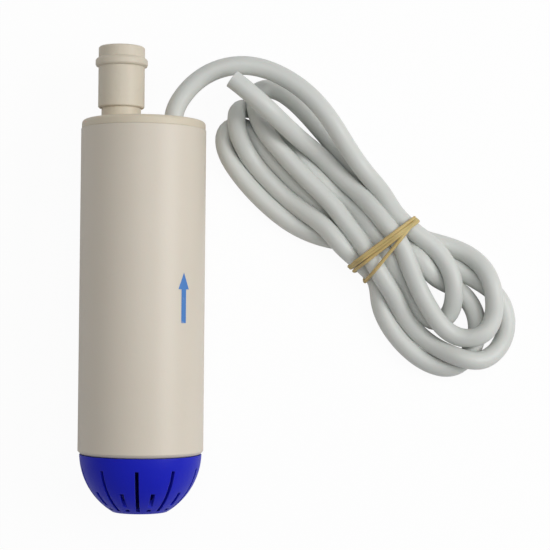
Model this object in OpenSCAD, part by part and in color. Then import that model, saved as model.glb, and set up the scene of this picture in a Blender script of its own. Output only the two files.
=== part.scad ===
// In-line submersible bilge pump: a small sealed motor in a plastic tube, a centrifugal
// impeller under it, a snap-on strainer dome, a hose tail, and a supply cable tied in a hank.
// The pump lies on its side: +Y is the outlet end and Z is up from the surface it lies on.

/* [Body] */
// Outer diameter of the body tube
body_d = 38; // [37:0.5:46]
// Wall of the body tube
body_wall = 2; // [1.4:0.1:2.2]
// Length of the body tube
body_len = 98.3; // [97:0.1:130]
// Chamfer on the lower edge of the body tube
body_edge = 0.9; // [0.3:0.1:1.2]

/* [Cap] */
// Thickness of the cap above the body tube
cap_h = 2.7; // [2.4:0.1:5]
// How much smaller the cap's radius is than the tube's
cap_step = 0.2; // [0:0.1:0.8]
// Rounding of the cap's upper edge
cap_round = 1.1; // [0.5:0.1:2.3]
// Depth of the skirt that is glued into the tube
skirt_h = 6; // [4:1:7]
// Wall of the skirt
skirt_wall = 1.9; // [1.2:0.1:2.5]
// Sideways offset of the outlet neck
outlet_x = -7; // [-8:0.5:-6]
// Diameter of the water way through neck and hose tail
water_d = 9.6; // [8:0.2:11.6]
// Wall of the outlet neck
neck_wall = 1.2; // [0.9:0.1:1.5]
// Bare length of neck between the cap and the hose tail
neck_gap = 4; // [2:0.2:6]

/* [Hose tail] */
// Length of the hose tail
tail_len = 18.7; // [17:0.1:26]
// Wall of the hose tail over the neck
tail_wall = 1; // [0.8:0.1:1.6]
// Height of the bead that grips the hose
bead_h = 0.9; // [0.5:0.1:1.4]
// Length of the bead along the hose tail
bead_land = 2.9; // [1.5:0.1:3.5]

/* [Strainer] */
// Height of the strainer dome
strainer_h = 17.2; // [16.5:0.1:20]
// How much smaller the strainer's rim is than the tube, on the radius
rim_step = 0.5; // [0.3:0.1:1]
// Wall of the strainer
strainer_wall = 1.6; // [1.3:0.1:1.7]
// Number of long slots
slot_count = 10; // [6:1:12]
// Width of a slot
slot_w = 1.1; // [0.8:0.1:1.6]
// Solid band between the slots and the rim
slot_band = 3.8; // [3.4:0.1:6]

/* [Inlet and impeller] */
// Thickness of the inlet plate
inlet_h = 3; // [2.4:0.2:4]
// Diameter of the suction eye
eye_d = 12; // [10:0.5:14]
// Diameter of the impeller
impeller_d = 25; // [20:0.5:26]
// Height of the impeller's vanes
vane_h = 6.5; // [4:0.5:8]
// Number of impeller vanes
vane_count = 5; // [3:1:7]

/* [Sealed chamber] */
// Wall of the chamber tube round the motor
chamber_wall = 0.9; // [0.7:0.1:1.2]
// Thickness of the flanges on the pump base and the lid
flange_h = 3; // [2.5:0.1:4]
// Depth of the plugs that enter the chamber tube
plug_h = 3; // [2.6:0.2:4]
// Section diameter of the sealing rings
ring_d = 1.4; // [1.2:0.1:1.5]

/* [Motor] */
// Diameter of the motor can
motor_d = 27.7; // [23:0.1:28.2]
// Length of the motor can
can_len = 36; // [34:1:38]
// Wall of the motor can
can_wall = 0.9; // [0.6:0.1:1.1]
// Diameter of the motor shaft
shaft_d = 2.3; // [2:0.1:3]
// Thickness of the magnets
magnet_t = 2; // [1.5:0.1:2.5]
// Spacing of the two motor screws
screw_pitch = 16; // [15:0.5:17]

/* [Cable] */
// Diameter of the supply cable
cable_d = 5.8; // [4.6:0.1:6]
// Sideways offset of the cable's exit
cable_x = 9; // [8:0.5:9.5]

/* [Hidden] */
$fn = 96;

// Clearances
glue_gap = 0.05;
run_gap = 0.05;
seat_gap = 0.2;
snap_gap = 0.3;
motor_gap = 0.25;
air_gap = 0.5;
eps = 0.01;

// Radii
body_r = body_d / 2;
bore_r = body_r - body_wall;
plate_r = bore_r - glue_gap;
motor_r = motor_d / 2;
chamber_ri = motor_r + motor_gap;
chamber_r = chamber_ri + chamber_wall;
plug_r = chamber_ri - glue_gap;
magnet_r = motor_r - can_wall - glue_gap;
armature_r = magnet_r - magnet_t - air_gap;
shaft_r = shaft_d / 2;
bush_r = shaft_r + 1.9;
cable_r = cable_d / 2;
water_r = water_d / 2;
neck_r = water_r + neck_wall;
tail_r = neck_r + glue_gap + tail_wall;
rim_r = body_r - rim_step;
eye_r = eye_d / 2;
spigot_r = rim_r - strainer_wall - snap_gap;
seal_r = shaft_r + 3.85;

// Stations along the pump's axis, from the tip of the strainer
tube_z0 = strainer_h + seat_gap;
tube_z1 = tube_z0 + body_len;
cap_z1 = tube_z1 + cap_h;
tail_z0 = cap_z1 + neck_gap;
overall = tail_z0 + tail_len;
inlet_z1 = tube_z0 + inlet_h;
vane_z0 = inlet_z1 + 0.6;
shroud_z0 = vane_z0 + vane_h;
shroud_h = 1.5;
hub_z1 = shroud_z0 + shroud_h + 0.8;
base_z0 = hub_z1 + 0.8;
chamber_z0 = base_z0 + flange_h + 1.5;
motor_z0 = chamber_z0 + plug_h;
can_z1 = motor_z0 + can_len;
bell_h = 4;
bell_z1 = can_z1 + bell_h;
tab_z1 = bell_z1 + 5;
duct_z1 = tube_z1 - 1.4;
lid_z1 = duct_z1 - 8;
lid_z0 = lid_z1 - flange_h;
boss_z0 = lid_z0 - plug_h - 3;
tail_end_z = boss_z0 - 4;
gland_top = cap_z1 - 0.1;
cable_out_z = cap_z1 + 0.3;

// Small fittings
neck_seat = 11.2;
screw_r = 1.25;
bead_z0 = tail_z0 + tail_len - 6.2;
spring_x = 7;
lead_r = 0.8;

// The cable's free stretch, from the gland to the hank, on the resting surface's axes
lead_route = [[9, 48.15, 19], [9, 49.2, 19], [9.4, 51.2, 19], [11.2, 54.9, 18.8],
    [14, 58.6, 18.4], [17.9, 62, 17.9], [23.7, 64.8, 17.2], [30.5, 65.8, 16.4],
    [36.5, 64.9, 15.6]];

// The hank: two round ends and a waist where the rubber band holds it
hank_end_a = [40, 46];
hank_end_b = [97, -7.5];
hank_r_a = 18.5;
hank_r_b = 20;
hank_h = 18;
waist_w = 25;
waist_h = 12.5;
band_w = 3.6;
band_t = 0.8;
hank_dir = hank_end_b - hank_end_a;
hank_turn = atan2(hank_dir[1], hank_dir[0]);
hank_span = norm(hank_dir);
band_at = 0.6 * hank_span;

// Lays the upright pump on its side
module lay() {
    translate([0, -overall / 2, body_r]) rotate([-90, 0, 0]) children();
}

// Solid of revolution between two stations
module disc(r, z0, z1) {
    translate([0, 0, z0]) cylinder(r = r, h = z1 - z0);
}

// Hollow ring between two stations
module ring(ro, ri, z0, z1) {
    difference() {
        disc(ro, z0, z1);
        disc(ri, z0 - 1, z1 + 1);
    }
}

// Round sealing ring of section radius s
module seal_ring(r, s, z) {
    translate([0, 0, z]) rotate_extrude() translate([r, 0]) circle(r = s);
}

// Copies its children at equal angles
module around(count, start = 0) {
    for (i = [0:count - 1]) rotate([0, 0, start + i * 360 / count]) children();
}

// Upright box, centred across its width, from radius x0 to x1
module bar(x0, x1, w, z0, z1) {
    translate([x0, -w / 2, z0]) cube([x1 - x0, w, z1 - z0]);
}

// Part of a ring, centred on +X
module arc_ring(ro, ri, z0, z1, angle) {
    rotate([0, 0, -angle / 2]) translate([0, 0, z0])
        rotate_extrude(angle = angle) translate([ri, 0]) square([ro - ri, z1 - z0]);
}

// Direction of a route at its point i
function heading(p, i) =
    let (a = p[max(i - 1, 0)], b = p[min(i + 1, len(p) - 1)]) (b - a) / norm(b - a);

// Ring of points square to direction t, with side vectors taken from ref
function hoop(c, t, r, sides, ref) =
    let (u = cross(t, ref) / norm(cross(t, ref)), v = cross(u, t))
    [for (k = [0:sides - 1]) c + r * (cos(k * 360 / sides) * u + sin(k * 360 / sides) * v)];

// Tube swept along a list of points
module swept(p, r, sides = 8, ref = [0, 0, 1]) {
    n = len(p);
    points = [for (i = [0:n - 1]) each hoop(p[i], heading(p, i), r, sides, ref)];
    walls = [for (i = [0:n - 2]) for (k = [0:sides - 1])
        let (a = i * sides + k, b = i * sides + (k + 1) % sides)
        each [[a, a + sides, b + sides], [a, b + sides, b]]];
    start = [for (k = [1:sides - 2]) [0, k, k + 1]];
    end = [for (k = [1:sides - 2]) [(n - 1) * sides, (n - 1) * sides + k + 1, (n - 1) * sides + k]];
    polyhedron(points = points, faces = concat(walls, start, end), convexity = 6);
}

// ---- Outer body ----

// Plain tube, cut square at both ends and chamfered below
module body_tube() {
    color([0.86, 0.82, 0.77]) lay() rotate_extrude() polygon([
        [bore_r, tube_z0], [body_r - body_edge, tube_z0], [body_r, tube_z0 + body_edge],
        [body_r, tube_z1], [bore_r, tube_z1]]);
}

// Cap glued into the tube, with the outlet neck and the cable port
module top_cap() {
    color([0.87, 0.84, 0.79]) lay() difference() {
        union() {
            cap_disc();
            ring(plate_r, plate_r - skirt_wall, tube_z1 - skirt_h, tube_z1 + eps);
            translate([outlet_x, 0, 0]) disc(neck_r, tube_z1, tail_z0 + neck_seat);
            translate([outlet_x, 0, cap_z1]) neck_root();
        }
        translate([outlet_x, 0, 0]) disc(water_r, tube_z1 - 1, overall);
        translate([cable_x, 0, 0]) disc(cable_r + 1, tube_z1 - 1, overall);
    }
}

// Flat disc with a rounded upper edge
module cap_disc() {
    r = body_r - cap_step;
    translate([0, 0, tube_z1]) rotate_extrude() intersection() {
        square([r, cap_h]);
        union() {
            square([r - cap_round, cap_h]);
            square([r, cap_h - cap_round]);
            translate([r - cap_round, cap_h - cap_round]) circle(r = cap_round);
        }
    }
}

// Small fillet round the foot of the neck
module neck_root() {
    f = 0.8;
    rotate_extrude() difference() {
        translate([neck_r - 0.2, -0.2]) square([f + 0.2, f + 0.2]);
        translate([neck_r + f, f]) circle(r = f);
    }
}

// Stepped hose tail, glued over the neck, with a gripping bead
module hose_tail() {
    r = tail_r;
    b = tail_r + bead_h;
    color([0.86, 0.83, 0.78]) lay() translate([outlet_x, 0, 0]) rotate_extrude() polygon([
        [neck_r + glue_gap, tail_z0], [r - 0.3, tail_z0], [r, tail_z0 + 0.3],
        [r, bead_z0], [b - 0.25, bead_z0 + 0.25], [b, bead_z0 + 0.7],
        [b, bead_z0 + bead_land - 0.9], [b - 0.3, bead_z0 + bead_land - 0.4],
        [r, bead_z0 + bead_land], [r, overall - 0.4], [r - 0.4, overall],
        [water_r + 0.3, overall], [water_r, overall - 0.3], [water_r, tail_z0 + neck_seat + 0.1],
        [neck_r + glue_gap, tail_z0 + neck_seat + 0.1]]);
}

// Rubber grommet in the cap, sealing on the top of the lid's duct
module cable_gland() {
    hole = cable_r + 1;
    color([0.30, 0.30, 0.31]) lay() translate([cable_x, 0, 0]) difference() {
        union() {
            disc(hole - glue_gap, duct_z1, gland_top);
            disc(cable_r + 1.75, duct_z1, tube_z1);
        }
        disc(cable_r + 0.02, duct_z1 - 1, gland_top + 1);
    }
}

// ---- Cable inside the pump ----

// Sheathed end of the supply cable, from the gland into the dry chamber
module cable_tail() {
    color([0.78, 0.79, 0.77]) lay() translate([cable_x, 0, 0]) disc(cable_r, tail_end_z, cable_out_z);
}

// Nylon tie that bears on the lid's boss and holds the cable
module cable_tie() {
    color([0.92, 0.92, 0.90]) lay() translate([cable_x, 0, 0]) difference() {
        union() {
            disc(cable_r + 0.9, boss_z0 - 2.4, boss_z0);
            translate([-cable_r - 3, -1.8, boss_z0 - 3]) cube([2.6, 3.6, 3]);
        }
        disc(cable_r + 0.02, boss_z0 - 4, boss_z0 + 1);
    }
}

// Resin that seals the cable in the well of the lid
module potting_plug() {
    color([0.16, 0.16, 0.17]) lay() translate([cable_x, 0, 0])
        ring(cable_r + 1, cable_r + 0.02, lid_z0, lid_z1 - 0.8);
}

// ---- Sealed chamber ----

// Thin tube round the motor, centred in the body by four ribs
module chamber_tube() {
    rib_top = lid_z0 - 4;
    color([0.80, 0.78, 0.73]) lay() {
        ring(chamber_r, chamber_ri, chamber_z0, lid_z0);
        intersection() {
            around(4, 45) bar(chamber_r - 0.2, bore_r, 1.6, chamber_z0 + 4, rib_top);
            disc(plate_r, chamber_z0, lid_z0);
        }
    }
}

// Lid with a plug, a cable boss below and a duct up to the gland
module chamber_lid() {
    color([0.82, 0.80, 0.75]) lay() difference() {
        union() {
            disc(chamber_r, lid_z0, lid_z1);
            ring(plug_r, plug_r - 2.4, lid_z0 - plug_h, lid_z0 + eps);
            translate([cable_x, 0, 0]) disc(cable_r + 1.3, boss_z0, lid_z0 + eps);
            translate([cable_x, 0, 0]) disc(cable_r + 1.75, lid_z0, duct_z1);
        }
        translate([cable_x, 0, 0]) disc(cable_r + 0.1, boss_z0 - 1, duct_z1 + 1);
        translate([cable_x, 0, 0]) disc(cable_r + 1.05, lid_z0, lid_z1 - 0.8);
        groove(lid_z0 - plug_h / 2);
    }
}

// Groove for a sealing ring, cut round a plug
module groove(z) {
    ring(plug_r + 1, plug_r - ring_d, z - ring_d / 2 - 0.05, z + ring_d / 2 + 0.05);
}

// Two sealing rings, one on each plug of the chamber
module chamber_rings() {
    color([0.12, 0.12, 0.13]) lay() for (z = [chamber_z0 + plug_h / 2, lid_z0 - plug_h / 2])
        seal_ring(chamber_ri - ring_d / 2 - 0.02, ring_d / 2 - 0.01, z);
}

// Floor of the chamber: flange, plug, seal pocket and the vanes that guide the water up
module pump_base() {
    color([0.80, 0.78, 0.73]) lay() difference() {
        union() {
            disc(chamber_r, base_z0, chamber_z0);
            disc(plug_r, base_z0, motor_z0);
            intersection() {
                around(6) bar(chamber_r - 0.5, bore_r, 1.6, inlet_z1, chamber_z0);
                disc(plate_r, inlet_z1, chamber_z0);
            }
        }
        disc(shaft_r + 0.5, base_z0 - 1, motor_z0);
        disc(seal_r, base_z0 + 2, motor_z0 + 1);
        groove(chamber_z0 + plug_h / 2);
        for (s = [-1, 1]) translate([s * screw_pitch / 2, 0, 0]) {
            disc(screw_r + 0.05, base_z0 - 1, motor_z0 + 1);
            disc(2.4, base_z0 - 1, base_z0 + 2);
        }
    }
}

// Plate that closes the tube round the suction eye and carries the strainer
module inlet_plate() {
    color([0.80, 0.78, 0.73]) lay() difference() {
        union() {
            disc(plate_r, tube_z0, inlet_z1);
            disc(spigot_r, tube_z0 - 3.4, tube_z0 + eps);
        }
        disc(eye_r, tube_z0 - 4, inlet_z1 + 1);
        disc(spigot_r - 1.5, tube_z0 - 4, tube_z0);
    }
}

// Lip seal in its pocket
module shaft_seal() {
    color([0.13, 0.13, 0.14]) lay()
        ring(seal_r - 0.02, shaft_r + run_gap, base_z0 + 2, base_z0 + 5.2);
}

// Washer that the motor clamps on the seal
module seal_spacer() {
    color([0.72, 0.72, 0.72]) lay() ring(seal_r - 0.02, shaft_r + 1, base_z0 + 5.2, motor_z0);
}

// Two screws that hold the motor to the pump base
module motor_screws() {
    color([0.62, 0.63, 0.65]) lay() for (s = [-1, 1]) translate([s * screw_pitch / 2, 0, 0])
        difference() {
            union() {
                disc(2.25, base_z0 + 0.4, base_z0 + 2);
                disc(screw_r, base_z0 + 2 - eps, motor_z0 + can_wall);
            }
            bar(-3, 3, 0.6, base_z0, base_z0 + 1);
        }
}

// ---- Motor ----

// Drawn steel can with a boss for the front bush
module motor_can() {
    color([0.66, 0.67, 0.69]) lay() difference() {
        union() {
            ring(motor_r, motor_r - can_wall, motor_z0, can_z1);
            disc(motor_r, motor_z0, motor_z0 + can_wall);
            disc(bush_r + 1, motor_z0, motor_z0 + 3.6);
        }
        disc(bush_r, motor_z0 - 1, motor_z0 + 5);
        for (s = [-1, 1]) translate([s * screw_pitch / 2, 0, 0])
            disc(screw_r + 0.02, motor_z0 - 1, motor_z0 + can_wall + 0.2);
    }
}

// Two curved magnets inside the can
module magnets() {
    color([0.22, 0.22, 0.23]) lay() around(2, 90)
        arc_ring(magnet_r, magnet_r - magnet_t, motor_z0 + 6, can_z1 - 5, 140);
}

// Bronze bushes that carry the shaft
module front_bush() {
    color([0.72, 0.55, 0.30]) lay()
        ring(bush_r - 0.01, shaft_r + 0.02, motor_z0, motor_z0 + 4);
}

module rear_bush() {
    color([0.72, 0.55, 0.30]) lay() ring(bush_r - 0.01, shaft_r + 0.02, can_z1, bell_z1);
}

// Plastic end bell with slots for the two terminals
module end_bell() {
    color([0.20, 0.20, 0.21]) lay() difference() {
        disc(motor_r - 0.3, can_z1, bell_z1);
        disc(bush_r, can_z1 - 1, bell_z1 + 1);
        for (s = [0, 180]) rotate([0, 0, s]) bar(spring_x - 0.05, spring_x + 0.55, 3.3, can_z1 - 1, bell_z1 + 1);
    }
}

// Carbon brushes on either side of the commutator
module brushes() {
    color([0.10, 0.10, 0.10]) lay() around(2) difference() {
        bar(2, spring_x, 3, can_z1 - 5.6, can_z1 - 1.8);
        disc(3.2 + run_gap, can_z1 - 8, can_z1);
    }
}

// Strips of spring brass that press the brushes inwards
module brush_springs() {
    color([0.80, 0.66, 0.34]) lay() around(2) bar(spring_x, spring_x + 0.5, 3.2, can_z1 - 6, can_z1 + 1);
}

// Tabs that pass through the end bell, each with a solder hole
module terminals() {
    color([0.83, 0.70, 0.38]) lay() around(2) difference() {
        bar(spring_x, spring_x + 0.5, 3.2, can_z1 + 1, tab_z1);
        translate([spring_x - 1, 0, tab_z1 - 1.4]) rotate([0, 90, 0]) cylinder(r = 0.6, h = 3);
    }
}

// Ceramic disc capacitor across the terminals, standing on its legs
module capacitor() {
    z = bell_z1 + 4.2;
    color([0.79, 0.52, 0.24]) lay() {
        translate([0, 1.4, z]) rotate([90, 0, 0]) cylinder(r = 3.8, h = 2.8);
        for (s = [-1, 1]) translate([s * 3.4, 0, z]) rotate([0, s * 90, 0])
            cylinder(r = 0.3, h = spring_x - 3.4);
    }
}

// Insulated lead from a terminal to the end of the cable
module lead(side) {
    x0 = side * (spring_x + 0.5 + lead_r);
    x1 = cable_x + side * 1.2;
    route = [[x0, 0, tab_z1 - 3.5], [x0, 0, tab_z1 - 1.5], [x0 + side * 0.3, 1.4, tab_z1 + 1],
        [x0 * 0.5 + x1 * 0.5, 3.2, tab_z1 + 3.6], [x1, 0.8, tail_end_z - 4],
        [x1, 0, tail_end_z - 1.5], [x1, 0, tail_end_z]];
    lay() swept(route, lead_r, 8, [0.1, 1, 0.05]);
}

module lead_positive() {
    color([0.72, 0.12, 0.10]) lead(1);
}

module lead_negative() {
    color([0.11, 0.11, 0.12]) lead(-1);
}

// ---- Rotor ----

// Ground steel shaft from the nut to the rear bush
module shaft() {
    color([0.75, 0.76, 0.78]) lay() disc(shaft_r, vane_z0 - 2.2, bell_z1 + 0.4);
}

// Open impeller: hub, shroud and straight vanes set back from the radius
module impeller() {
    r = impeller_d / 2;
    hub_r = 3.2;
    vane_t = 1.2;
    color([0.15, 0.22, 0.62]) lay() difference() {
        union() {
            disc(r, shroud_z0, shroud_z0 + shroud_h);
            disc(hub_r, vane_z0, hub_z1);
            intersection() {
                around(vane_count) translate([0, hub_r - vane_t, 0])
                    bar(1.4, r, vane_t, vane_z0 + 0.1, shroud_z0 + 0.5);
                disc(r - 0.4, vane_z0, shroud_z0 + 1);
            }
        }
        disc(shaft_r, vane_z0 - 1, hub_z1 + 1);
    }
}

// Hexagon nut under the impeller
module impeller_nut() {
    color([0.70, 0.71, 0.72]) lay() difference() {
        translate([0, 0, vane_z0 - 1.8]) cylinder(r = 2.5, h = 1.8, $fn = 6);
        disc(shaft_r, vane_z0 - 3, vane_z0 + 1);
    }
}

// Three-pole stack of steel plates
module armature_core() {
    z0 = motor_z0 + 9;
    z1 = can_z1 - 9;
    r = armature_r;
    color([0.45, 0.46, 0.48]) lay() difference() {
        union() {
            disc(3.4, z0, z1);
            around(3) bar(3, r - 1, 4, z0, z1);
            around(3) arc_ring(r, r - 1.3, z0, z1, 100);
        }
        disc(shaft_r, z0 - 1, z1 + 1);
    }
}

// Enamelled coils round the three poles
module windings() {
    z0 = motor_z0 + 7.6;
    z1 = can_z1 - 7.6;
    color([0.72, 0.36, 0.16]) lay() around(3) difference() {
        bar(4.3, armature_r - 2.6, 8.6, z0, z1);
        bar(3, armature_r, 4.1, z0 + 1.35, z1 - 1.35);
    }
}

// Copper commutator with three cuts
module commutator() {
    z0 = can_z1 - 7;
    color([0.74, 0.45, 0.25]) lay() difference() {
        disc(3.2, z0, can_z1 - 1.2);
        disc(shaft_r, z0 - 1, can_z1 + 1);
        around(3, 60) bar(2.6, 4, 0.4, z0 - 1, can_z1);
    }
}

// Washers and a sleeve that set the armature's end play
module thrust_washers() {
    color([0.60, 0.58, 0.50]) lay() {
        ring(2.4, shaft_r, motor_z0 + 4.2, motor_z0 + 9);
        ring(2.4, shaft_r, can_z1 - 9, can_z1 - 7);
        ring(2.4, shaft_r, can_z1 - 1.2, can_z1 - 0.2);
    }
}

// ---- Strainer ----

// Outline of the dome: one arc from the rim to the flat foot
module dome_shape(inset) {
    arc_r = rim_r + 2.4;
    intersection() {
        translate([rim_r - arc_r, strainer_h + 0.7]) circle(r = arc_r - inset);
        translate([0, inset]) square([2 * rim_r, strainer_h - inset]);
    }
}

// Snap-on dome with long slots, and a short slot between each pair
module strainer() {
    bore = rim_r - strainer_wall;
    color([0.12, 0.15, 0.70]) lay() difference() {
        rotate_extrude() dome_shape(0);
        rotate_extrude() intersection() {
            dome_shape(strainer_wall);
            square([bore, strainer_h]);
        }
        disc(bore, tube_z0 - 3.8, strainer_h + 1);
        around(slot_count, 91.5) bar(8, body_r, slot_w, 0.9, strainer_h - slot_band);
        around(slot_count, 91.5 + 180 / slot_count) {
            bar(9, 10.6, slot_w * 1.2, 0.9, 4);
            bar(11.6, 15.5, slot_w * 1.2, 2.2, 6.6);
        }
    }
}

// ---- Cable outside the pump ----

// Free stretch of the cable, from the gland to the hank
module cord_lead() {
    color([0.79, 0.80, 0.78]) swept(lead_route, cable_r, 12);
}

// The tied hank, as one closed form with round ends
module cord_hank() {
    color([0.79, 0.80, 0.78]) {
        translate([hank_end_a[0], hank_end_a[1], 0]) cylinder(r = hank_r_a, h = hank_h);
        translate([hank_end_b[0], hank_end_b[1], 0]) cylinder(r = hank_r_b, h = hank_h);
        translate([hank_end_a[0], hank_end_a[1], band_t]) rotate([0, 0, hank_turn])
            translate([0, -waist_w / 2, 0]) cube([hank_span, waist_w, waist_h]);
    }
}

// Rubber band round the waist of the hank
module rubber_band() {
    inner = waist_w;
    color([0.80, 0.71, 0.46]) translate([hank_end_a[0], hank_end_a[1], 0])
        rotate([0, 0, hank_turn]) translate([band_at - band_w / 2, 0, 0]) difference() {
            translate([0, -inner / 2 - band_t, 0])
                cube([band_w, inner + 2 * band_t, waist_h + 2 * band_t]);
            translate([-1, -inner / 2, band_t]) cube([band_w + 2, inner, waist_h]);
        }
}

body_tube();
top_cap();
hose_tail();
cable_gland();
cable_tail();
cable_tie();
potting_plug();
chamber_tube();
chamber_lid();
chamber_rings();
pump_base();
inlet_plate();
shaft_seal();
seal_spacer();
motor_screws();
motor_can();
magnets();
front_bush();
rear_bush();
end_bell();
brushes();
brush_springs();
terminals();
capacitor();
lead_positive();
lead_negative();
shaft();
impeller();
impeller_nut();
armature_core();
windings();
commutator();
thrust_washers();
strainer();
cord_lead();
cord_hank();
rubber_band();
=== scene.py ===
"""A small in-line submersible bilge pump with its cable tied in a hank, set out on a pale surface.

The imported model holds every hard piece. This file gives each one its finish, and makes the cable,
the rubber band and the printed flow arrow.
"""

import math

import bpy
import numpy as np
from mathutils import Matrix, Vector


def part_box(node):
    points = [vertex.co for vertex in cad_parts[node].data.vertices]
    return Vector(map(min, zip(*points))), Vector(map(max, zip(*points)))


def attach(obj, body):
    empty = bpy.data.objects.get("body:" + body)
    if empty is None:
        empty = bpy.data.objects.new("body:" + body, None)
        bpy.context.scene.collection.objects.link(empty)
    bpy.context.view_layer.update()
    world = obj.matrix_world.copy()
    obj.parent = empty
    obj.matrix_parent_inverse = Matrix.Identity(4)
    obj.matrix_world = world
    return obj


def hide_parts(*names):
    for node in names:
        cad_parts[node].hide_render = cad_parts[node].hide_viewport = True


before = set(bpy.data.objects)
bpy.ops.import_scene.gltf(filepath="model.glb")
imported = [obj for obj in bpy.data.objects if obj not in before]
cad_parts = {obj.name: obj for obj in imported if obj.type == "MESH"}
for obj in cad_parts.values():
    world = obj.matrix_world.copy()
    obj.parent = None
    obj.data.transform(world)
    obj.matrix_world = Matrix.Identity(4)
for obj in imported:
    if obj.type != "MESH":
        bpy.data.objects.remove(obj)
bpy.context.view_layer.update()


# ---- Camera ----
# A long lens held over the pump, tipped a little towards the outlet end and turned a little, so
# that the pump stands almost upright in the view with the hank to its right.
MM = 0.001
camera_data = bpy.data.cameras.new("camera")
camera_data.sensor_width = 36
camera_data.lens = 102.2
camera_place = Vector((40.35, -12.95, 494)) * MM
camera = bpy.data.objects.new("camera", camera_data)
bpy.context.scene.collection.objects.link(camera)
camera_tip = math.radians(1.72)
camera_turn = math.radians(0.47)
camera.matrix_world = (
    Matrix.Translation(camera_place)
    @ Matrix.Rotation(camera_tip, 4, "X")
    @ Matrix.Rotation(camera_turn, 4, "Z")
)
bpy.context.scene.camera = camera


# ---- Supply cable ----
# Two-core round cable in a soft light-grey sheath, about a metre long. It leaves its grommet by
# the hose tail, arches over to the hank, runs down and up the hank four times and ends cut off.
cable_d = 5.8
cable_r = cable_d / 2
cable_exit = (9, 48.15, 19)

# From the grommet to the hank: the same points as the CAD route
lead_route = [
    cable_exit, (9, 49.2, 19), (9.4, 51.2, 19), (11.2, 54.9, 18.8), (14, 58.6, 18.4),
    (17.9, 62, 17.9), (23.7, 64.8, 17.2), (30.5, 65.8, 16.4), (36.5, 64.9, 15.6),
]

# The hank, run by run. Heights say which strand passes over which: all but the cut end then
# sinks on to what is under it.
first_run = [
    (43, 62.05, 16), (49, 58.05, 16), (54, 53.05, 16), (58.5, 47.05, 16), (62.5, 40.55, 16),
    (66.5, 34.55, 16), (71, 29.55, 16), (75.5, 25.05, 16), (80.5, 20.05, 16),
]
small_loop = [
    (86, 14.05, 16.5), (91, 8.05, 17), (94.5, 1.55, 17), (96, -4.45, 16), (95, -9.95, 13.5),
    (91.5, -13.65, 11), (87, -13.45, 9.5), (83.5, -8.95, 9.5), (81, -2.95, 9.5), (78.5, 3.05, 9.5),
]
second_run = [
    (72.2, 11.75, 9.5), (65.5, 18.55, 9.5), (57, 28.55, 9.5), (48.5, 38.55, 9.5), (41.5, 48.05, 9.5),
    (37, 53.55, 9.5), (32, 56.05, 12), (28.3, 53.85, 15),
]
third_run = [
    (27.8, 48.85, 16), (29.4, 43.55, 16), (32.5, 38.05, 16), (36.5, 33.55, 16), (41, 29.05, 16),
    (46, 24.55, 16), (53, 19.55, 16), (60, 13.55, 16), (67.3, 6.55, 16),
]
low_loop = [
    (71, 1.05, 14), (74, -4.95, 11), (77, -11.95, 8), (81, -17.95, 6), (86, -22.95, 4),
    (91, -25.95, 3), (96, -26.75, 3), (100.5, -24.45, 3.5), (103.5, -19.95, 4.5), (104.5, -14.45, 6),
    (103.5, -8.95, 8), (101, -4.45, 9), (97, -0.95, 9.5), (92, 2.05, 9.5), (87.5, 5.55, 9.5),
    (83, 10.05, 9.5),
]
fourth_run = [
    (76.4, 16.15, 8), (68, 19.05, 4), (60, 21.55, 3), (52.5, 25.55, 3), (45, 31.55, 3),
    (39.5, 37.05, 3), (36.3, 42.05, 3), (33, 47.55, 3), (28.3, 50, 3), (24.2, 48.2, 3),
    (23.3, 43.4, 3), (25.7, 38.6, 3), (30.7, 34.2, 3), (37, 28.35, 3), (43, 23.95, 3),
]
fifth_run = [
    (49, 19.05, 3), (56, 15.05, 3), (62, 10.55, 3), (68, 6.85, 3), (75, 4.55, 3), (82, 4.05, 3),
    (90, 5.35, 3), (97, 5.55, 3), (103, 3.55, 3), (108, -0.45, 3), (111.5, -5.95, 3.5),
]
wide_loop = [
    (113, -11.95, 4.5), (112.5, -17.45, 6.5), (109.5, -22.25, 8.5), (104.5, -24.75, 9.5),
    (98.5, -24.95, 9.5), (93, -22.75, 9.5), (88, -18.65, 9.5), (83.5, -13.45, 10), (79.5, -7.95, 12),
    (76.5, -1.95, 14), (74.5, 4.05, 16),
]
sixth_run = [
    (71.5, 11.05, 16), (65, 17.55, 16), (58.5, 23.05, 16), (53, 27.55, 16), (48, 32.05, 16),
    (43, 36.55, 16), (39, 41.55, 16), (35.6, 46.55, 16), (33.3, 51.55, 16), (32.5, 56.55, 16),
    (34.3, 60.05, 14), (38.5, 61.05, 12),
]
seventh_run = [
    (42.5, 59.05, 10.5), (47, 55.05, 9.5), (52, 50.05, 9.5), (56.5, 44.55, 9.5), (61, 38.55, 9.5),
    (66, 33.05, 9.5), (71, 28.55, 9.5), (76, 24.55, 9.5), (81, 20.05, 9.5),
]
top_loop = [
    (87, 15.05, 9.5), (93, 11.55, 9.5), (99, 7.55, 9.5), (104.3, 2.55, 9.5), (108, -3.45, 10),
    (109, -9.95, 12), (106.3, -15.45, 16), (101, -18.25, 18.5), (95.5, -16.45, 21), (91, -12.25, 22),
    (87.3, -6.95, 22), (84.5, -0.95, 22), (81, 5.55, 22),
]
last_run = [
    (76.3, 13.05, 22), (71, 19.55, 22), (65, 26.05, 22), (59, 32.5, 22), (52.4, 38.8, 21.5),
    (45.8, 44.8, 21), (39.4, 50.6, 20.5), (34.6, 54.6, 21), (30.8, 57.8, 21.7),
    (26.9, 60.8, 21.7),
]
cable_route = (
    lead_route + first_run + small_loop + second_run + third_run + low_loop + fourth_run
    + fifth_run + wide_loop + sixth_run + seventh_run + top_loop + last_run
)

# Where the rubber band grips: a point on the hank's middle, its long direction, its direction
# across, half its width, and how far the band under the strands lifts them off the surface
waist = np.array((74.5, 11.3))
waist_along = np.array((0.729, -0.684))
waist_across = np.array((0.684, 0.729))
waist_half = 9.0
band_lift = 1.1

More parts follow.
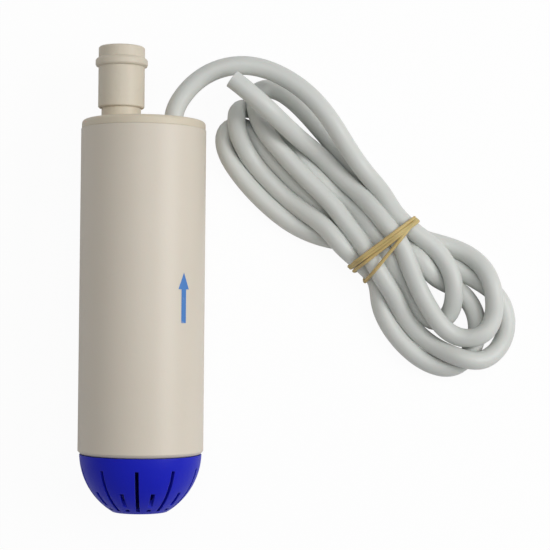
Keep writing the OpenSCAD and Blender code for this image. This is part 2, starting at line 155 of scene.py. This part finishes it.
# How the cable is let down: steps of the route in millimetres, rounds, and the share of each
# correction that a round makes. The first nodes are the stiff lead and the last the stiff end.
coarse_step = 2.5
fine_step = 1.25
settle_rounds = 300
smooth_rounds = 60
smooth_share = 0.5
sink_each_round = 0.10
fixed_nodes = 3
lead_nodes = 30
lead_fade = 6
end_nodes = 9
end_fade = 3
loose_pull = 0.03
stiff_pull = 0.3
evening = ((1, 0.3), (3, 0.12))
nodes_in_a_bend = 6
part_share = 0.5
grip_flat = 3
grip_fade = 6
grip_share = 0.8
link_rounds = 3
link_share = 0.25


def resample(points, step):
    """Points at even steps along a smooth curve through the given ones."""
    p = np.array(points, float)
    p = np.vstack([2 * p[0] - p[1], p, 2 * p[-1] - p[-2]])
    parts = 12
    fine = []
    for a, b, c, d in zip(p[:-3], p[1:-2], p[2:-1], p[3:]):
        for t in np.arange(parts) / parts:
            fine.append(
                b + 0.5 * t * (c - a)
                + t * t * (a - 2.5 * b + 2 * c - 0.5 * d)
                + t * t * t * (1.5 * b - 0.5 * a - 1.5 * c + 0.5 * d)
            )
    fine = np.array(fine + [p[-2]])
    along = np.concatenate([[0], np.cumsum(np.linalg.norm(np.diff(fine, axis=0), axis=1))])
    marks = np.linspace(0, along[-1], int(round(along[-1] / step)) + 1)
    return np.stack([np.interp(marks, along, fine[:, k]) for k in range(3)], axis=1)


def at_waist(points):
    """How far each point is along and across the hank from the band."""
    offset = points[:, :2] - waist
    return offset @ waist_along, offset @ waist_across


def settle(home):
    """Lets the cable sink onto the surface and onto itself, gripped at the waist."""
    count = len(home)
    spacing = np.linalg.norm(np.diff(home, axis=0), axis=1).mean()
    index = np.arange(count)
    neighbours = np.abs(index[:, None] - index[None, :]) < nodes_in_a_bend
    stiff = np.clip((lead_nodes - index) / lead_fade, 0, 1)
    stiff = stiff + np.clip((index - count + end_nodes) / end_fade, 0, 1)
    sideways = loose_pull + stiff_pull * stiff
    grasp = np.stack([sideways, sideways, stiff_pull * stiff], axis=1)
    p = home.copy()
    for _ in range(settle_rounds):
        p[:, 2] -= sink_each_round
        p += grasp * (home - p)
        for reach, pull in evening:
            even = p.copy()
            near = p[reach:-3 * reach] + p[3 * reach:-reach]
            even[2 * reach:-2 * reach] = (4 * near - p[:-4 * reach] - p[4 * reach:]) / 6
            p += pull * (even - p)
        apart = p[:, None, :] - p[None, :, :]
        distance = np.sqrt((apart ** 2).sum(axis=2)) + 1e-9
        over = np.where(neighbours, 0, np.maximum(cable_d - distance, 0))
        touching = np.sqrt(np.maximum((over > 0).sum(axis=1), 1))
        push = (apart * (over / distance)[:, :, None]).sum(axis=1)
        p += part_share * push / touching[:, None]
        along, across = at_waist(p)
        grip = np.clip(1 - (np.abs(along) - grip_flat) / grip_fade, 0, 1)
        outside = np.sign(across) * np.maximum(np.abs(across) - waist_half, 0)
        p[:, :2] -= grip_share * (grip * outside)[:, None] * waist_across
        p[:, 2] = np.maximum(p[:, 2], cable_r + band_lift * grip)
        for _ in range(link_rounds):
            span = np.diff(p, axis=0)
            length = np.linalg.norm(span, axis=1)
            move = span * (link_share * (length - spacing) / length)[:, None]
            p[:-1] += move
            p[1:] -= move
        p[:fixed_nodes] = home[:fixed_nodes]
    return p


def smooth(points):
    """Evens out how sharply the line bends from point to point, in place."""
    for _ in range(smooth_rounds):
        near = points[1:-3] + points[3:-1]
        even = (4 * near - points[:-4] - points[4:]) / 6
        points[2:-2] += smooth_share * (even - points[2:-2])


cable_line = resample(settle(resample(cable_route, coarse_step)), fine_step)
smooth(cable_line)
cable_line[:, 2] = np.maximum(cable_line[:, 2], cable_r)


def tube(name, points, radius, closed=False, sides=5):
    """A round tube along points in millimetres, as a curve of one straight-sided spline."""
    curve = bpy.data.curves.new(name, "CURVE")
    curve.dimensions = "3D"
    curve.bevel_depth = radius * MM
    curve.bevel_resolution = sides
    curve.use_fill_caps = not closed
    spline = curve.splines.new("POLY")
    spline.points.add(len(points) - 1)
    for spot, point in zip(spline.points, points):
        spot.co = (point[0] * MM, point[1] * MM, point[2] * MM, 1)
    spline.use_cyclic_u = closed
    spline.use_smooth = True
    piece = bpy.data.objects.new(name, curve)
    bpy.context.scene.collection.objects.link(piece)
    return piece


cable = tube("supply_cable", cable_line, cable_r)


def colour(red, green, blue):
    """A colour as the eye reads it, 0 to 255, turned into the renderer's own scale."""
    parts = [v / 255 for v in (red, green, blue)]
    return [v / 12.92 if v <= 0.04045 else ((v + 0.055) / 1.055) ** 2.4 for v in parts] + [1.0]


def link(tree, source, socket_out, target, socket_in):
    """Joins an output of one node to an input of another."""
    tree.links.new(source.outputs[socket_out], target.inputs[socket_in])


def group_node(tree, group, values):
    """Places a node group in a material with that material's own values."""
    node = tree.nodes.new("ShaderNodeGroup")
    node.node_tree = group
    for name, value in values.items():
        node.inputs[name].default_value = value
    return node


# The colour sockets of a Mix node, which share their names with its other sockets
MIX_FIRST = 6
MIX_SECOND = 7
MIX_RESULT = 2


def surface_finish_group():
    """Fine grain, slow colour drift and scuffs, on any moulded or metal surface."""
    group = bpy.data.node_groups.new("surface_finish", "ShaderNodeTree")
    sockets = (
        ("Colour", "NodeSocketColor"), ("Drift Colour", "NodeSocketColor"),
        ("Drift Size", "NodeSocketFloat"), ("Drift Amount", "NodeSocketFloat"),
        ("Grain Size", "NodeSocketFloat"), ("Scuff Amount", "NodeSocketFloat"),
        ("Scuff Colour", "NodeSocketColor"), ("Stretch", "NodeSocketVector"),
        ("Smoothest", "NodeSocketFloat"), ("Roughest", "NodeSocketFloat"),
    )
    for name, kind in sockets:
        group.interface.new_socket(name, in_out="INPUT", socket_type=kind)
    for name, kind in (("Colour", "NodeSocketColor"), ("Roughness", "NodeSocketFloat"),
                       ("Height", "NodeSocketFloat")):
        group.interface.new_socket(name, in_out="OUTPUT", socket_type=kind)
    given = group.nodes.new("NodeGroupInput")
    result = group.nodes.new("NodeGroupOutput")
    place = group.nodes.new("ShaderNodeTexCoord")
    stretched = group.nodes.new("ShaderNodeVectorMath")
    stretched.operation = "MULTIPLY"
    link(group, place, "Object", stretched, 0)
    link(group, given, "Stretch", stretched, 1)

    drift = group.nodes.new("ShaderNodeTexNoise")
    drift.inputs["Detail"].default_value = 3
    link(group, stretched, 0, drift, "Vector")
    link(group, given, "Drift Size", drift, "Scale")
    drift_share = group.nodes.new("ShaderNodeMath")
    drift_share.operation = "MULTIPLY"
    link(group, drift, "Fac", drift_share, 0)
    link(group, given, "Drift Amount", drift_share, 1)
    drifted = group.nodes.new("ShaderNodeMix")
    drifted.data_type = "RGBA"
    link(group, drift_share, 0, drifted, "Factor")
    link(group, given, "Colour", drifted, MIX_FIRST)
    link(group, given, "Drift Colour", drifted, MIX_SECOND)

    grain = group.nodes.new("ShaderNodeTexNoise")
    grain.inputs["Detail"].default_value = 4
    link(group, stretched, 0, grain, "Vector")
    link(group, given, "Grain Size", grain, "Scale")

    scuff = group.nodes.new("ShaderNodeTexNoise")
    scuff.inputs["Scale"].default_value = 260
    scuff.inputs["Detail"].default_value = 8
    scuff.inputs["Distortion"].default_value = 1.4
    link(group, stretched, 0, scuff, "Vector")
    scuff_edge = group.nodes.new("ShaderNodeMapRange")
    scuff_edge.inputs["From Min"].default_value = 0.60
    scuff_edge.inputs["From Max"].default_value = 0.74
    link(group, scuff, "Fac", scuff_edge, "Value")
    scuff_share = group.nodes.new("ShaderNodeMath")
    scuff_share.operation = "MULTIPLY"
    link(group, scuff_edge, 0, scuff_share, 0)
    link(group, given, "Scuff Amount", scuff_share, 1)
    scuffed = group.nodes.new("ShaderNodeMix")
    scuffed.data_type = "RGBA"
    link(group, scuff_share, 0, scuffed, "Factor")
    link(group, drifted, MIX_RESULT, scuffed, MIX_FIRST)
    link(group, given, "Scuff Colour", scuffed, MIX_SECOND)

    gloss = group.nodes.new("ShaderNodeMapRange")
    link(group, grain, "Fac", gloss, "Value")
    link(group, given, "Smoothest", gloss, "To Min")
    link(group, given, "Roughest", gloss, "To Max")
    height = group.nodes.new("ShaderNodeMath")
    height.operation = "SUBTRACT"
    link(group, grain, "Fac", height, 0)
    link(group, scuff_share, 0, height, 1)
    link(group, scuffed, MIX_RESULT, result, "Colour")
    link(group, gloss, 0, result, "Roughness")
    link(group, height, 0, result, "Height")
    return group


def soft_edge_group():
    """Rounds sharp edges in the shading, as a mould or a tumbled part has them."""
    group = bpy.data.node_groups.new("soft_edge", "ShaderNodeTree")
    group.interface.new_socket("Radius", in_out="INPUT", socket_type="NodeSocketFloat")
    group.interface.new_socket("Normal", in_out="OUTPUT", socket_type="NodeSocketVector")
    group.interface.new_socket("Edge", in_out="OUTPUT", socket_type="NodeSocketFloat")
    given = group.nodes.new("NodeGroupInput")
    result = group.nodes.new("NodeGroupOutput")
    rounded = group.nodes.new("ShaderNodeBevel")
    rounded.samples = 4
    link(group, given, "Radius", rounded, "Radius")
    shape = group.nodes.new("ShaderNodeNewGeometry")
    match = group.nodes.new("ShaderNodeVectorMath")
    match.operation = "DOT_PRODUCT"
    link(group, rounded, "Normal", match, 0)
    link(group, shape, "Normal", match, 1)
    edge = group.nodes.new("ShaderNodeMapRange")
    edge.inputs["From Min"].default_value = 0.99
    edge.inputs["From Max"].default_value = 0.80
    link(group, match, "Value", edge, "Value")
    link(group, rounded, "Normal", result, "Normal")
    link(group, edge, 0, result, "Edge")
    return group


surface_finish = surface_finish_group()
soft_edge = soft_edge_group()


def finish_material(name, values, depth=0.00003, metallic=0.0, specular=0.5, edge_radius=0.0003,
                    edge_colour=None, edge_amount=0.0, coat=0.0, subsurface=0.0):
    """A material with the shared surface effects, and its own values for them."""
    material = bpy.data.materials.new(name)
    material.use_nodes = True
    tree = material.node_tree
    shader = tree.nodes["Principled BSDF"]
    surface = group_node(tree, surface_finish, values)
    edges = group_node(tree, soft_edge, {"Radius": edge_radius})
    # Sharp edges, as the soft edge mask finds them, are mixed towards the edge colour by the edge
    # amount. Most parts here take a lighter edge colour, and the cap a darker one.
    edge_tinted = tree.nodes.new("ShaderNodeMix")
    edge_tinted.data_type = "RGBA"
    edge_tinted.inputs[MIX_SECOND].default_value = edge_colour or values["Colour"]
    share = tree.nodes.new("ShaderNodeMath")
    share.operation = "MULTIPLY"
    share.inputs[1].default_value = edge_amount
    link(tree, edges, "Edge", share, 0)
    link(tree, share, 0, edge_tinted, "Factor")
    link(tree, surface, "Colour", edge_tinted, MIX_FIRST)
    link(tree, edge_tinted, MIX_RESULT, shader, "Base Color")
    link(tree, surface, "Roughness", shader, "Roughness")
    bump = tree.nodes.new("ShaderNodeBump")
    bump.inputs["Strength"].default_value = 1.0
    bump.inputs["Distance"].default_value = depth
    link(tree, surface, "Height", bump, "Height")
    link(tree, edges, "Normal", bump, "Normal")
    link(tree, bump, "Normal", shader, "Normal")
    shader.inputs["Metallic"].default_value = metallic
    shader.inputs["Specular IOR Level"].default_value = specular
    shader.inputs["Coat Weight"].default_value = coat
    shader.inputs["Subsurface Weight"].default_value = subsurface
    shader.inputs["Subsurface Scale"].default_value = 0.002
    return material


def look(base, drift, drift_size=60, drift_amount=0.5, grain=2500, scuff=0.1,
         scuff_colour=None, stretch=(1, 1, 1), smooth=0.35, rough=0.55):
    """Values for the surface finish group."""
    return {
        "Colour": base, "Drift Colour": drift, "Drift Size": drift_size,
        "Drift Amount": drift_amount, "Grain Size": grain, "Scuff Amount": scuff,
        "Scuff Colour": scuff_colour or drift, "Stretch": stretch,
        "Smoothest": smooth, "Roughest": rough,
    }


def show(piece, material, slot, *nodes):
    """Gives a made piece its finish and body, in place of CAD nodes; the slot is not used."""
    piece.data.materials.clear()
    piece.data.materials.append(material)
    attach(piece, "casing")
    if nodes:
        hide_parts(*nodes)


sheath = finish_material(
    "cable_sheath",
    look(colour(215, 217, 213), colour(201, 204, 199), 45, 0.6, 900, 0.10,
         colour(176, 177, 170), smooth=0.34, rough=0.50),
    depth=0.00002, subsurface=0.05,
)
show(cable, sheath, "cord_lead", "cord_lead", "cord_hank")

# The cut end shows the two insulated cores and their copper, all but flush with the sheath
core_aside = 1.15
core_r = 1.0
copper_r = 0.5
core_depth = 1.2
core_len = 1.22
copper_len = 1.25
end_point = cable_line[-1]
end_way = end_point - cable_line[-4]
end_way /= np.linalg.norm(end_way)
end_side = np.cross(end_way, (0, 0, 1))
end_side /= np.linalg.norm(end_side)
core_pieces = []
for core_name, core_side, core_colour in (
    ("core_brown", -1, colour(96, 58, 36)), ("core_blue", 1, colour(40, 84, 150)),
):
    core_start = end_point + end_side * (core_aside * core_side) - end_way * core_depth
    core = tube(core_name, [core_start, core_start + end_way * core_len], core_r)
    show(core, finish_material(core_name, look(core_colour, core_colour)), "cord_lead")
    copper_end = core_start + end_way * copper_len
    strands = tube(core_name + "_wire", [core_start, copper_end], copper_r)
    copper_wire = finish_material(
        core_name + "_wire", look(colour(190, 116, 74), colour(150, 86, 52)), metallic=1.0)
    show(strands, copper_wire, "cord_lead")
    core_pieces += [core, strands]


# ---- Rubber band ----
# A tan rubber band about 1.1 mm thick, wound four times round the waist of the hank. Three turns
# lie side by side and the fourth lies apart, at another slant.
band_r = 0.55
band_seat = 0.5
band_reach = cable_r + band_seat
waist_near = 1.5
points_round = 24
along, across = at_waist(cable_line)
crossing = np.abs(along) < waist_near
ring_points = []
for point, side in zip(cable_line[crossing], across[crossing]):
    for turn in np.linspace(0, 2 * math.pi, points_round, endpoint=False):
        ring_points.append(
            (side + band_reach * math.cos(turn), point[2] + band_reach * math.sin(turn)))
ring_points = sorted(set(ring_points))


def half_hull(points):
    """One side of the tight outline round a set of points."""
    kept = []
    for p in points:
        while len(kept) > 1:
            a, b = kept[-2], kept[-1]
            if (b[0] - a[0]) * (p[1] - a[1]) - (b[1] - a[1]) * (p[0] - a[0]) > 0:
                break
            kept.pop()
        kept.append(p)
    return kept[:-1]


outline = np.array(half_hull(ring_points) + half_hull(ring_points[::-1]))
outline = np.vstack([outline, outline[:1]])
round_length = np.concatenate([[0], np.cumsum(np.linalg.norm(np.diff(outline, axis=0), axis=1))])
band_turns = 4
turn_offsets = (-1.3, -0.4, 0.5, 2.5)
turn_slants = (0.17, 0.19, 0.15, -0.08)
turn_steps = 120
ease_share = 0.45
band_path = []
for step in range(band_turns * turn_steps):
    turn, part = divmod(step, turn_steps)
    share = part / turn_steps
    mark = share * round_length[-1]
    side = np.interp(mark, round_length, outline[:, 0])
    height = np.interp(mark, round_length, outline[:, 1])
    ease = min(1, share / ease_share)
    before = turn_offsets[turn - 1] + turn_slants[turn - 1] * side
    now = turn_offsets[turn] + turn_slants[turn] * side
    forward = before + ease * (now - before)
    spot = waist + waist_along * forward + waist_across * side
    band_path.append((spot[0], spot[1], max(height, band_r)))
band = tube("rubber_band_turns", band_path, band_r, closed=True, sides=3)
band_rubber = finish_material(
    "band_rubber",
    look(colour(212, 190, 132), colour(184, 154, 88), 120, 0.7, 1800, 0.2,
         colour(222, 200, 140), smooth=0.45, rough=0.65),
    depth=0.00004, subsurface=0.1,
)
show(band, band_rubber, "rubber_band", "rubber_band")


# ---- Surface and light ----
# A plain white table in soft daylight: one square lamp low on the right like a window, a larger
# one high up towards the outlet end, and an even white surround.
table_mesh = bpy.data.meshes.new("table")
table_half = 3.0
table_mesh.from_pydata(
    [(-table_half, -table_half, 0), (table_half, -table_half, 0),
     (table_half, table_half, 0), (-table_half, table_half, 0)], [], [(0, 1, 2, 3)])
table = bpy.data.objects.new("table", table_mesh)
bpy.context.scene.collection.objects.link(table)
table_white = bpy.data.materials.new("table_white")
table_white.use_nodes = True
tree = table_white.node_tree
shader = tree.nodes["Principled BSDF"]
shader.inputs["Base Color"].default_value = (0.93, 0.93, 0.93, 1)
shader.inputs["Roughness"].default_value = 0.9
shader.inputs["Specular IOR Level"].default_value = 0.0
glow = tree.nodes.new("ShaderNodeEmission")
glow.inputs["Strength"].default_value = 1.0
seen = tree.nodes.new("ShaderNodeLightPath")
seen_share = tree.nodes.new("ShaderNodeMath")
seen_share.operation = "MULTIPLY"
seen_share.inputs[1].default_value = 0.95
mixed = tree.nodes.new("ShaderNodeMixShader")
link(tree, seen, "Is Camera Ray", seen_share, 0)
link(tree, seen_share, 0, mixed, 0)
tree.links.new(shader.outputs[0], mixed.inputs[1])
tree.links.new(glow.outputs[0], mixed.inputs[2])
tree.links.new(mixed.outputs[0], tree.nodes["Material Output"].inputs["Surface"])
table.data.materials.append(table_white)

world = bpy.data.worlds.new("surround")
bpy.context.scene.world = world
world.use_nodes = True
tree = world.node_tree
surround = tree.nodes["Background"]
surround.inputs["Color"].default_value = (1, 1, 1, 1)
surround.inputs["Strength"].default_value = 0.30
white = tree.nodes.new("ShaderNodeBackground")
white.inputs["Color"].default_value = (1, 1, 1, 1)
seen = tree.nodes.new("ShaderNodeLightPath")
mixed = tree.nodes.new("ShaderNodeMixShader")
link(tree, seen, "Is Camera Ray", mixed, 0)
tree.links.new(surround.outputs[0], mixed.inputs[1])
tree.links.new(white.outputs[0], mixed.inputs[2])
tree.links.new(mixed.outputs[0], tree.nodes["World Output"].inputs["Surface"])


def lamp(name, place, aim, size, power):
    """A square soft lamp that faces a point: metres and watts."""
    light = bpy.data.lights.new(name, "AREA")
    light.size = size
    light.energy = power
    holder = bpy.data.objects.new(name, light)
    bpy.context.scene.collection.objects.link(holder)
    holder.location = place
    holder.rotation_euler = (Vector(aim) - Vector(place)).to_track_quat("-Z", "Y").to_euler()


lamp("window", place=(0.75, 0.10, 0.60), aim=(0.03, 0, 0.01), size=0.55, power=4.2)
lamp("overhead", place=(0.15, 0.35, 1.0), aim=(0.03, 0, 0.0), size=0.6, power=2.6)
bpy.context.scene.view_settings.view_transform = "Standard"


# ---- Body tube and its flow arrow ----
# Injection-moulded cream plastic with a fine satin finish, slightly yellowed in places. A plain
# blue arrow, printed on the tube, shows which way the water goes.
cream = colour(221, 212, 198)
cream_aged = colour(213, 203, 186)
cream_scuff = colour(206, 197, 182)
body_plastic = finish_material(
    "body_plastic",
    look(cream, cream_aged, 38, 0.55, 2200, 0.10, cream_scuff, smooth=0.33, rough=0.50),
    depth=0.000015, edge_radius=0.0005, edge_colour=colour(232, 226, 214), edge_amount=0.5,
    subsurface=0.04,
)


def dress(node, material):
    """Puts a finish on a CAD node that keeps its shape."""
    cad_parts[node].data.materials.clear()
    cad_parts[node].data.materials.append(material)


dress("body_tube", body_plastic)

tube_low, tube_high = (Vector(corner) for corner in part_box("body_tube"))
tube_r = (tube_high.x - tube_low.x) / 2
tube_axis_z = (tube_high.z + tube_low.z) / 2
arrow_turn = math.radians(45)
arrow_tail_y = tube_low.y + 0.0396
arrow_len = 0.0149
arrow_head_len = 0.0049
arrow_head_w = 0.0041
arrow_shaft_w = 0.0018
arrow_step = 0.00001
arrow_tip_half = 0.00004
print_lift = 0.00004


def printed_strip(name, outline_rows):
    """A printed mark that wraps the tube: rows of (y, half width), as a thin curved skin."""
    mesh = bpy.data.meshes.new(name)
    columns = 8
    vertices = []
    for y, half in outline_rows:
        for k in range(columns + 1):
            angle = arrow_turn + (2 * k / columns - 1) * half / tube_r
            r = tube_r + print_lift
            vertices.append((r * math.sin(angle), y, tube_axis_z + r * math.cos(angle)))
    faces = []
    for row in range(len(outline_rows) - 1):
        for k in range(columns):
            a = row * (columns + 1) + k
            faces.append((a, a + 1, a + columns + 2, a + columns + 1))
    mesh.from_pydata(vertices, [], faces)
    mesh.update()
    piece = bpy.data.objects.new(name, mesh)
    bpy.context.scene.collection.objects.link(piece)
    return piece


arrow_neck_y = arrow_tail_y + arrow_len - arrow_head_len
arrow = printed_strip("flow_arrow", [
    (arrow_tail_y, arrow_shaft_w / 2), (arrow_neck_y, arrow_shaft_w / 2),
    (arrow_neck_y + arrow_step, arrow_head_w / 2), (arrow_tail_y + arrow_len, arrow_tip_half),
])
ink = finish_material(
    "printing_ink",
    look(colour(62, 122, 196), colour(84, 138, 202), 400, 0.5, 4000, 0.35, cream,
         smooth=0.30, rough=0.45),
    depth=0.000005, edge_radius=0.00002,
)
show(arrow, ink, "body_tube")


# ---- Cap and hose tail ----
# The cap is a separate moulding glued into the tube, in a slightly yellower batch of the same
# plastic. The hose tail is a beaded sleeve glued over its neck, lighter along its edges and a little
# scuffed.
cap_plastic = finish_material(
    "cap_plastic",
    look(colour(219, 209, 191), colour(207, 194, 168), 50, 0.6, 2400, 0.15, cream_scuff,
         smooth=0.35, rough=0.52),
    depth=0.00002, edge_radius=0.0004, edge_colour=colour(206, 196, 170), edge_amount=0.6,
    subsurface=0.04,
)
tail_plastic = finish_material(
    "tail_plastic",
    look(colour(218, 209, 192), colour(205, 194, 172), 70, 0.6, 2600, 0.25, colour(196, 186, 168),
         smooth=0.36, rough=0.55),
    depth=0.00003, edge_radius=0.0004, edge_colour=colour(234, 228, 216), edge_amount=0.5,
    subsurface=0.04,
)
dress("top_cap", cap_plastic)
dress("hose_tail", tail_plastic)


# ---- Strainer dome ----
# Satin royal-blue plastic, moulded with its slots and very lightly scuffed. It snaps on to the
# inlet plate and pulls off for cleaning.
dress("strainer", finish_material(
    "strainer_plastic",
    look(colour(27, 35, 194), colour(22, 29, 178), 90, 0.6, 2000, 0.05, colour(46, 56, 204),
         smooth=0.34, rough=0.48),
    depth=0.00002, specular=0.16, edge_radius=0.0003, edge_colour=colour(72, 84, 214),
    edge_amount=0.6, subsurface=0.06,
))


# ---- Rubber parts ----
# Matt moulded rubber: the dark grey grommet that the cable passes through, and inside the pump
# the black sealing rings of the chamber and the shaft's lip seal.
for node, shade in (("cable_gland", 74), ("chamber_rings", 30), ("shaft_seal", 34)):
    dress(node, finish_material(
        node + "_rubber",
        look(colour(shade, shade, shade + 2), colour(shade + 14, shade + 14, shade + 14), 200,
             0.5, 3000, 0.25, smooth=0.55, rough=0.80),
        depth=0.00004,
    ))


# ---- Inner mouldings ----
# Plain off-white mouldings: the chamber tube, its lid, the pump base and the inlet plate, which
# shows once the strainer is off. With them come the nylon tie, the resin plug and the cable's
# inner end.
natural = colour(214, 208, 192)
for node in ("chamber_tube", "chamber_lid", "pump_base", "inlet_plate"):
    dress(node, finish_material(
        node + "_plastic",
        look(natural, colour(200, 192, 172), 80, 0.6, 2400, 0.15, smooth=0.40, rough=0.60),
        depth=0.00003, edge_colour=colour(226, 221, 208), edge_amount=0.4,
    ))
dress("cable_tail", sheath)
dress("cable_tie", finish_material(
    "tie_nylon", look(colour(236, 235, 228), colour(224, 222, 210), smooth=0.30, rough=0.45),
    subsurface=0.15))
dress("potting_plug", finish_material(
    "potting_resin", look(colour(42, 42, 44), colour(30, 30, 32), smooth=0.12, rough=0.25),
    coat=0.4))


# ---- Motor ----
# A small brushed motor: zinc-plated steel can, ferrite magnets, bronze bushes, black end bell with
# carbon brushes on brass springs, brass tabs, and a dipped ceramic capacitor across them.
turned_grain = (1, 14, 1)
metals = (
    ("motor_can", (176, 178, 182), (150, 152, 156), 0.28, 0.45),
    ("motor_screws", (168, 170, 172), (140, 140, 142), 0.25, 0.40),
    ("seal_spacer", (190, 190, 190), (160, 160, 160), 0.22, 0.38),
    ("front_bush", (190, 148, 86), (150, 110, 60), 0.40, 0.60),
    ("rear_bush", (190, 148, 86), (150, 110, 60), 0.40, 0.60),
    ("brush_springs", (208, 174, 96), (180, 140, 70), 0.22, 0.35),
    ("terminals", (214, 184, 106), (190, 190, 186), 0.25, 0.40),
)


def dress_metals(rows):
    """Turned, drawn or plated metal, with its fine grain round the pump's axis."""
    for node, base, drift, smooth, rough in rows:
        dress(node, finish_material(
            node + "_metal",
            look(colour(*base), colour(*drift), 120, 0.6, 1600, 0.15, stretch=turned_grain,
                 smooth=smooth, rough=rough),
            depth=0.00001, metallic=1.0, edge_radius=0.0002,
            edge_colour=colour(*(min(255, v + 30) for v in base)), edge_amount=0.5,
        ))


dress_metals(metals)
for node, base, smooth in (
    ("magnets", (58, 58, 62), 0.45), ("end_bell", (46, 46, 48), 0.35),
    ("brushes", (32, 32, 33), 0.40), ("capacitor", (206, 138, 62), 0.20),
    ("lead_positive", (186, 36, 30), 0.35), ("lead_negative", (34, 34, 36), 0.35),
):
    dress(node, finish_material(
        node + "_finish",
        look(colour(*base), colour(*(v * 0.8 for v in base)), 150, 0.6, 2500, 0.2,
             smooth=smooth, rough=smooth + 0.2),
        depth=0.00003,
    ))


# ---- Rotor ----
# What turns: ground steel shaft, laminated core with enamelled copper coils, copper commutator,
# fibre washers, and the blue moulded impeller with its steel nut.
dress_metals((
    ("shaft", (200, 202, 206), (176, 178, 182), 0.12, 0.25),
    ("impeller_nut", (188, 190, 192), (160, 160, 162), 0.25, 0.40),
    ("armature_core", (128, 130, 134), (96, 92, 88), 0.30, 0.50),
    ("windings", (186, 96, 46), (140, 62, 28), 0.20, 0.35),
    ("commutator", (196, 124, 78), (150, 88, 52), 0.18, 0.35),
))
dress("thrust_washers", finish_material(
    "washer_fibre", look(colour(172, 160, 130), colour(150, 136, 104), smooth=0.60, rough=0.80)))
dress("impeller", finish_material(
    "impeller_plastic",
    look(colour(44, 62, 160), colour(36, 50, 140), 100, 0.6, 2400, 0.2, smooth=0.35, rough=0.55),
    edge_colour=colour(76, 94, 190), edge_amount=0.5))
